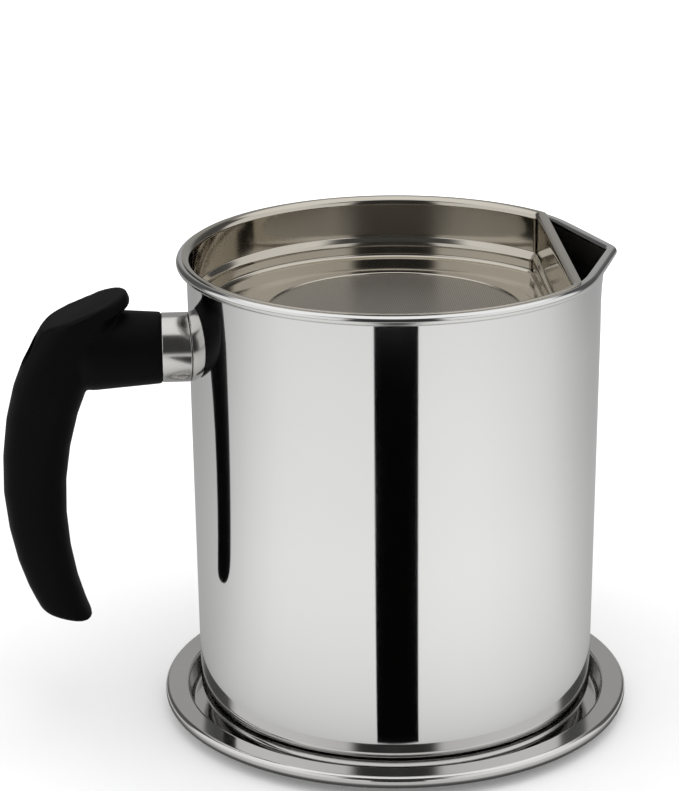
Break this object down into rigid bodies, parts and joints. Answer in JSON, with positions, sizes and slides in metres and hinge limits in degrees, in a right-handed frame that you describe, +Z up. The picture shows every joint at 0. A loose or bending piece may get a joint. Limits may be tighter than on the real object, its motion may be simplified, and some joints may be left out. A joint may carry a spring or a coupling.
{
  "type": "bacon grease container",
  "caption": "Round steel grease pot with a curled rim and a pouring spout, a lift-out strainer cup with a flat side, a black C-shaped side handle and a round drip tray.",
  "frame": {"origin": "middle of the drip tray's flat underside, on the pot's axis", "axes": "+Z up, +X from the pot's axis to the spout, -X to the handle"},
  "size_m": [0.2, 0.1504, 0.1525],
  "materials": {
    "polished_steel": "mirror polished stainless steel sheet",
    "steel_mesh": "fine woven stainless wire",
    "satin_steel": "finely turned and polished",
    "plain_steel": "plain",
    "zinc_steel": "zinc plated",
    "black_plastic": "moulded, fine matt texture"
  },
  "bodies": {
    "tray": {"drip_tray": "polished_steel"},
    "pot": {"pot_body": "polished_steel", "handle_bracket": "plain_steel", "bracket_nut": "plain_steel", "handle_ferrule": "satin_steel", "handle_grip": "black_plastic", "handle_screw": "zinc_steel", "screw_washer": "zinc_steel", "spring_washer": "zinc_steel"},
    "strainer": {"strainer_body": "polished_steel", "strainer_screen": "steel_mesh", "screen_ring": "polished_steel"}
  },
  "joints": [
    {"name": "pot_lift", "type": "slide", "parent": "tray", "child": "pot", "axis": [0, 0, 1], "range_m": [0, 0.08]},
    {"name": "strainer_lift", "type": "slide", "parent": "pot", "child": "strainer", "axis": [0, 0, 1], "range_m": [0, 0.08]}
  ]
}
